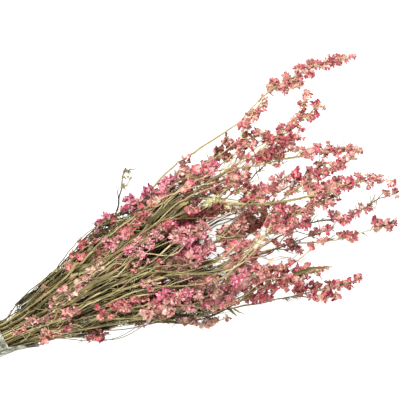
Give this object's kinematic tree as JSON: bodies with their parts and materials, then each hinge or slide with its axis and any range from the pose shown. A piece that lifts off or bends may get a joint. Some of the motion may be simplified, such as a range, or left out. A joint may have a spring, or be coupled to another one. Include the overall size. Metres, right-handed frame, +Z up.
{
  "type": "bunch of dried delphinium",
  "caption": "Bunch of dried pink delphinium stems lying down, flower spikes fanned out from cut feet wound in clear film.",
  "frame": {"origin": "on the flat underside of the film wrap, below the tie, on the surface that the bunch lies on", "axes": "+X along the bunch from the tie to the flower tips, +Y across the bunch, +Z up from the surface"},
  "size_m": [0.7031, 0.307, 0.1071],
  "materials": {
    "petals_rose": "dry, papery, crumpled petals, quite matt",
    "petals_pink": "dry, papery, crumpled petals, quite matt",
    "petals_blush": "dry, papery, crumpled petals, quite matt",
    "petals_coral": "dry, papery, crumpled petals, quite matt",
    "petals_crimson": "dry, papery, crumpled petals, quite matt",
    "petals_magenta": "dry, papery, crumpled petals, quite matt",
    "petals_dark": "dry, papery, crumpled petals, quite matt",
    "seed_husk": "dry grey-green seed husk and stem, matt",
    "stem_straw": "dry straw-yellow stem, ribbed, matt with a faint sheen",
    "stem_olive": "dry olive green stem and leaf, ribbed, matt",
    "clear_film": "clear grey-green film, creased, glossy"
  },
  "bodies": {
    "root": {"spray_top_01": "petals_blush", "spray_top_02": "petals_rose", "spray_top_03": "petals_rose", "spray_top_04": "petals_pink", "spray_top_05": "petals_blush", "spray_top_06": "petals_crimson", "spray_top_07": "petals_rose", "spray_upper_01": "petals_blush", "spray_upper_02": "petals_crimson", "spray_upper_03": "petals_pink", "spray_upper_04": "petals_pink", "spray_upper_05": "petals_pink", "spray_upper_06": "petals_rose", "spray_upper_07": "petals_crimson", "spray_upper_08": "petals_magenta", "spray_middle_01": "petals_dark", "spray_middle_02": "petals_pink", "spray_middle_03": "petals_coral", "spray_middle_04": "petals_rose", "spray_middle_05": "petals_crimson", "spray_middle_06": "petals_rose", "spray_seed_head": "seed_husk", "spray_lower_01": "petals_blush", "spray_lower_02": "petals_crimson", "spray_lower_03": "petals_rose", "spray_lower_04": "petals_crimson", "spray_lower_05": "petals_rose", "spray_lower_06": "petals_rose", "spray_ground_01": "petals_crimson", "spray_ground_02": "petals_rose", "spray_ground_03": "petals_dark", "spray_ground_04": "petals_crimson", "spray_ground_05": "petals_dark", "film_wrap": "clear_film"}
  },
  "joints": []
}
